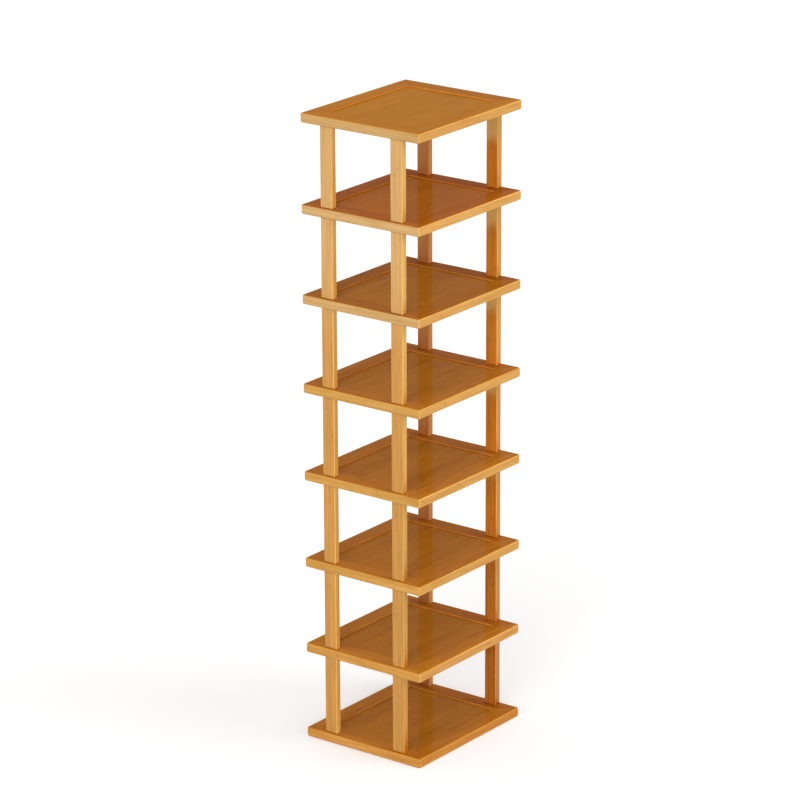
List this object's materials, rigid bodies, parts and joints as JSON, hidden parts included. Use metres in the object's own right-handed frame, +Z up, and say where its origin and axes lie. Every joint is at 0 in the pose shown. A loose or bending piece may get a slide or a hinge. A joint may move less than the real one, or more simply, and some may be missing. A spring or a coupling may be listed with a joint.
{
  "type": "shoe rack",
  "caption": "Tall narrow bamboo shoe rack: framed shelves with sunk panels, stacked on short rectangular legs and open on every side.",
  "frame": {"origin": "on the floor, under the middle of the rack", "axes": "+Z up; the front, where shoes go in, faces -Y; +X is to the right seen from the front"},
  "size_m": [0.35, 0.295, 1.3402],
  "materials": {
    "frame_bamboo": "bamboo rails under clear gloss lacquer, fine grain along the rail",
    "panel_bamboo": "bamboo strip panel under clear gloss lacquer, warm brown",
    "leg_bamboo": "laminated bamboo under clear satin lacquer, straw coloured strips",
    "dowel_wood": "plain, unfinished",
    "fastener_steel": "zinc plated",
    "insert_brass": "turned, bare"
  },
  "bodies": {
    "root": {"shelf_1_long_rails": "frame_bamboo", "shelf_2_long_rails": "frame_bamboo", "shelf_3_long_rails": "frame_bamboo", "shelf_4_long_rails": "frame_bamboo", "shelf_5_long_rails": "frame_bamboo", "shelf_6_long_rails": "frame_bamboo", "shelf_7_long_rails": "frame_bamboo", "shelf_8_long_rails": "frame_bamboo", "shelf_1_side_rails": "frame_bamboo", "shelf_2_side_rails": "frame_bamboo", "shelf_3_side_rails": "frame_bamboo", "shelf_4_side_rails": "frame_bamboo", "shelf_5_side_rails": "frame_bamboo", "shelf_6_side_rails": "frame_bamboo", "shelf_7_side_rails": "frame_bamboo", "shelf_8_side_rails": "frame_bamboo", "shelf_1_panel": "panel_bamboo", "shelf_2_panel": "panel_bamboo", "shelf_3_panel": "panel_bamboo", "shelf_4_panel": "panel_bamboo", "shelf_5_panel": "panel_bamboo", "shelf_6_panel": "panel_bamboo", "shelf_7_panel": "panel_bamboo", "shelf_8_panel": "panel_bamboo", "leg_front_left_1": "leg_bamboo", "leg_front_right_1": "leg_bamboo", "leg_back_left_1": "leg_bamboo", "leg_back_right_1": "leg_bamboo", "leg_front_left_2": "leg_bamboo", "leg_front_right_2": "leg_bamboo", "leg_back_left_2": "leg_bamboo", "leg_back_right_2": "leg_bamboo", "leg_front_left_3": "leg_bamboo", "leg_front_right_3": "leg_bamboo", "leg_back_left_3": "leg_bamboo", "leg_back_right_3": "leg_bamboo", "leg_front_left_4": "leg_bamboo", "leg_front_right_4": "leg_bamboo", "leg_back_left_4": "leg_bamboo", "leg_back_right_4": "leg_bamboo", "leg_front_left_5": "leg_bamboo", "leg_front_right_5": "leg_bamboo", "leg_back_left_5": "leg_bamboo", "leg_back_right_5": "leg_bamboo", "leg_front_left_6": "leg_bamboo", "leg_front_right_6": "leg_bamboo", "leg_back_left_6": "leg_bamboo", "leg_back_right_6": "leg_bamboo", "leg_front_left_7": "leg_bamboo", "leg_front_right_7": "leg_bamboo", "leg_back_left_7": "leg_bamboo", "leg_back_right_7": "leg_bamboo", "leg_foot_inserts": "insert_brass", "leg_head_inserts": "insert_brass", "top_shelf_inserts": "insert_brass", "joining_studs": "fastener_steel", "top_shelf_studs": "fastener_steel", "base_bolts": "fastener_steel", "corner_dowels": "dowel_wood"}
  },
  "joints": []
}
